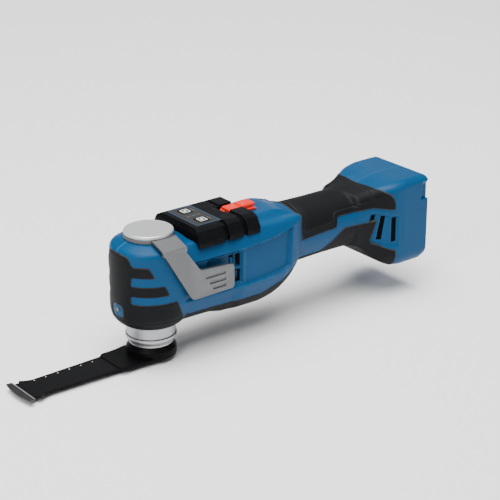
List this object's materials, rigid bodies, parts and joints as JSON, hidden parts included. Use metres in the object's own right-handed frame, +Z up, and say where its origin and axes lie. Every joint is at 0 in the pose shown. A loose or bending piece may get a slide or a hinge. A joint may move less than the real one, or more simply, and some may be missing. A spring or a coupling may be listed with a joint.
{
  "type": "oscillating multi tool",
  "caption": "Cordless oscillating multi tool: round head with a lever-released tool holder and plunge blade, motor trunk with a saddle of controls, slim handle and flared battery dock.",
  "frame": {"origin": "on the spindle axis at the lower rim of the tool holder", "axes": "+Z up the spindle, +X back along the handle to the battery dock, -Y the lever side"},
  "size_m": [0.3495, 0.0636, 0.0944],
  "materials": {
    "blue_shell": "moulded satin",
    "black_rubber": "soft matt",
    "black_plastic": "fine texture",
    "red_plastic": "satin",
    "cast_aluminium": "cast, blasted",
    "bright_steel": "turned",
    "blade_steel": "black coated",
    "tooth_steel": "hardened, dark",
    "copper": "enamelled wire",
    "lamination": "stacked sheet",
    "board_green": "lacquered",
    "clear_lens": "clear",
    "contact_metal": "plated"
  },
  "bodies": {
    "housing": {"housing_left": "blue_shell", "housing_right": "blue_shell", "housing_screws": "bright_steel", "head_boot": "black_rubber", "belly_guard": "black_rubber", "handle_grip": "black_rubber", "lower_grip": "black_rubber", "neck_collar": "bright_steel", "neck_seal": "black_rubber", "gearbox_housing": "cast_aluminium", "lower_bearing_outer": "bright_steel", "upper_bearing_outer": "bright_steel", "front_motor_bearing_outer": "bright_steel", "rear_motor_bearing_outer": "bright_steel", "stator": "lamination", "stator_windings": "copper", "motor_end_cap": "black_plastic", "motor_posts": "black_plastic", "saddle": "black_plastic", "control_panel": "black_plastic", "key_board": "board_green", "switch_module": "black_plastic", "control_board": "board_green", "heat_sink": "cast_aluminium", "capacitor": "black_plastic", "motor_leads": "black_rubber", "battery_leads": "black_rubber", "dock_frame": "black_plastic", "terminal_block": "black_plastic", "battery_contacts": "contact_metal", "work_light": "clear_lens"},
    "lever": {"release_lever": "cast_aluminium", "lever_cap": "cast_aluminium"},
    "spindle_assembly": {"spindle": "bright_steel", "tool_holder": "bright_steel", "swing_fork": "bright_steel", "lower_bearing_inner": "bright_steel", "upper_bearing_inner": "bright_steel", "release_spring": "bright_steel"},
    "release_rod": {"release_rod": "bright_steel"},
    "jaw_front": {"clamp_jaw_front": "bright_steel"},
    "jaw_rear": {"clamp_jaw_rear": "bright_steel"},
    "blade": {"blade_cup": "blade_steel", "blade_plate": "blade_steel", "blade_teeth": "tooth_steel"},
    "motor_rotor": {"motor_shaft": "bright_steel", "counterweight": "bright_steel", "rotor": "lamination", "cooling_fan": "black_plastic", "front_motor_bearing_inner": "bright_steel", "rear_motor_bearing_inner": "bright_steel"},
    "eccentric_ring": {"eccentric_bearing": "bright_steel"},
    "slider": {"power_slider": "red_plastic"},
    "speed_key": {"speed_key": "black_plastic"},
    "mode_key": {"mode_key": "black_plastic"}
  },
  "joints": [
    {"name": "lever_swing", "type": "hinge", "parent": "housing", "child": "lever", "pos_m": [0, 0, 0.08], "axis": [0, 0, -1], "range_deg": [0, 110]},
    {"name": "spindle_oscillation", "type": "hinge", "parent": "housing", "child": "spindle_assembly", "pos_m": [0, 0, 0.04], "axis": [0, 0, 1], "range_deg": [-1.7, 1.7]},
    {"name": "release_rod_press", "type": "slide", "parent": "spindle_assembly", "child": "release_rod", "axis": [0, 0, -1], "range_m": [0, 0.004], "deforming": ["release_spring"]},
    {"name": "front_jaw_release", "type": "slide", "parent": "spindle_assembly", "child": "jaw_front", "axis": [1, 0, 0], "range_m": [0, 0.0022]},
    {"name": "rear_jaw_release", "type": "slide", "parent": "spindle_assembly", "child": "jaw_rear", "axis": [-1, 0, 0], "range_m": [0, 0.0022]},
    {"name": "blade_eject", "type": "slide", "parent": "spindle_assembly", "child": "blade", "axis": [0, 0, -1], "range_m": [0, 0.004]},
    {"name": "motor_spin", "type": "hinge", "parent": "housing", "child": "motor_rotor", "pos_m": [0.06, 0, 0.045], "axis": [1, 0, 0], "continuous": true},
    {"name": "eccentric_roll", "type": "hinge", "parent": "motor_rotor", "child": "eccentric_ring", "pos_m": [0.02, 0, 0.04565], "axis": [1, 0, 0], "continuous": true},
    {"name": "power_slide", "type": "slide", "parent": "housing", "child": "slider", "axis": [-1, 0, 0], "range_m": [0, 0.005]},
    {"name": "speed_key_press", "type": "slide", "parent": "housing", "child": "speed_key", "axis": [0, 0, -1], "range_m": [0, 0.0006], "stiffness_N_per_m": 800},
    {"name": "mode_key_press", "type": "slide", "parent": "housing", "child": "mode_key", "axis": [0, 0, -1], "range_m": [0, 0.0006], "stiffness_N_per_m": 800}
  ],
  "couplings": [
    {"joint": "release_rod_press", "follows": "lever_swing", "m_per_rad": 0.0020835},
    {"joint": "front_jaw_release", "follows": "lever_swing", "m_per_rad": 0.0011459},
    {"joint": "rear_jaw_release", "follows": "lever_swing", "m_per_rad": 0.0011459},
    {"joint": "blade_eject", "follows": "lever_swing", "m_per_rad": 0.0020835},
    {"joint": "eccentric_roll", "follows": "motor_spin", "ratio": -1}
  ]
}
